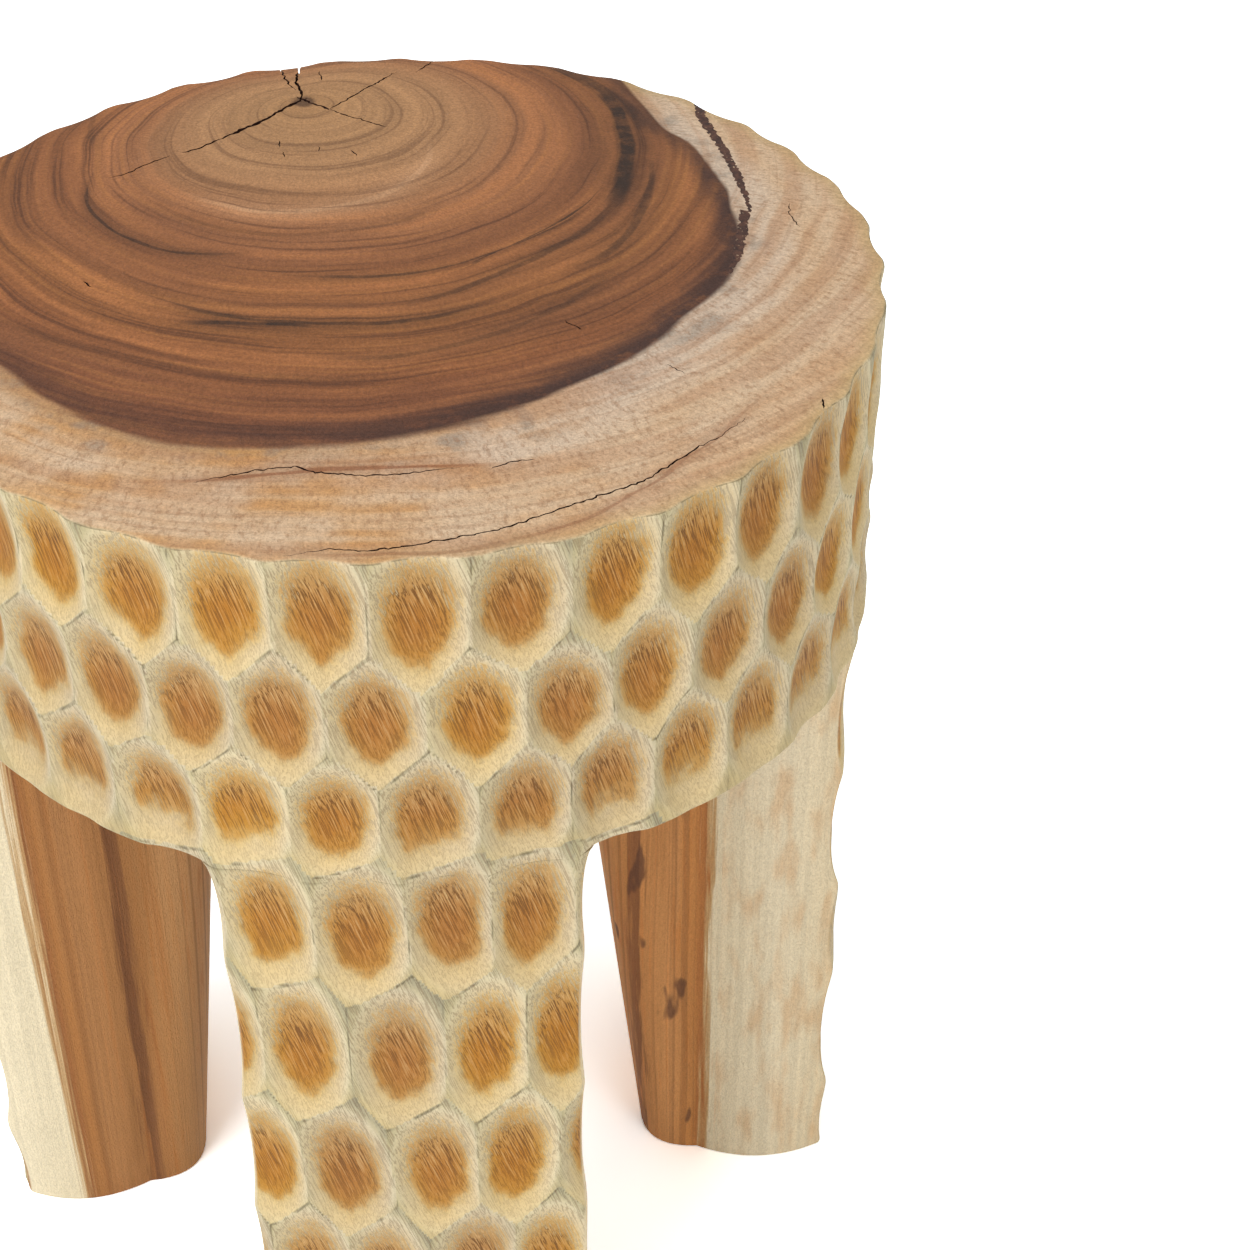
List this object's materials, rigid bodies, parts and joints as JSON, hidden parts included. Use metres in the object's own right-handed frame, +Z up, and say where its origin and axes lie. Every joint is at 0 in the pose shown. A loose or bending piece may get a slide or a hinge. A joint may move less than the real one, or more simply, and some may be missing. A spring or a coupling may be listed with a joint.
{
  "type": "stool",
  "caption": "Round wooden stool carved from a log, with gouged hollows round its side, an end-grain top and thick legs cut from the log's outer part.",
  "frame": {"origin": "on the floor, under the middle of the stool's box", "axes": "+Z up along the log's axis, -Y towards the front leg, +X to the right as seen from the front"},
  "size_m": [0.3572, 0.3432, 0.45],
  "materials": {
    "log_wood": "satin",
    "crack_filler": "satin"
  },
  "bodies": {
    "root": {"seat_drum": "log_wood", "leg_front": "log_wood", "leg_rear_right": "log_wood", "leg_rear_left": "log_wood", "shake_filler_rear": "crack_filler", "shake_filler_front": "crack_filler"}
  },
  "joints": []
}
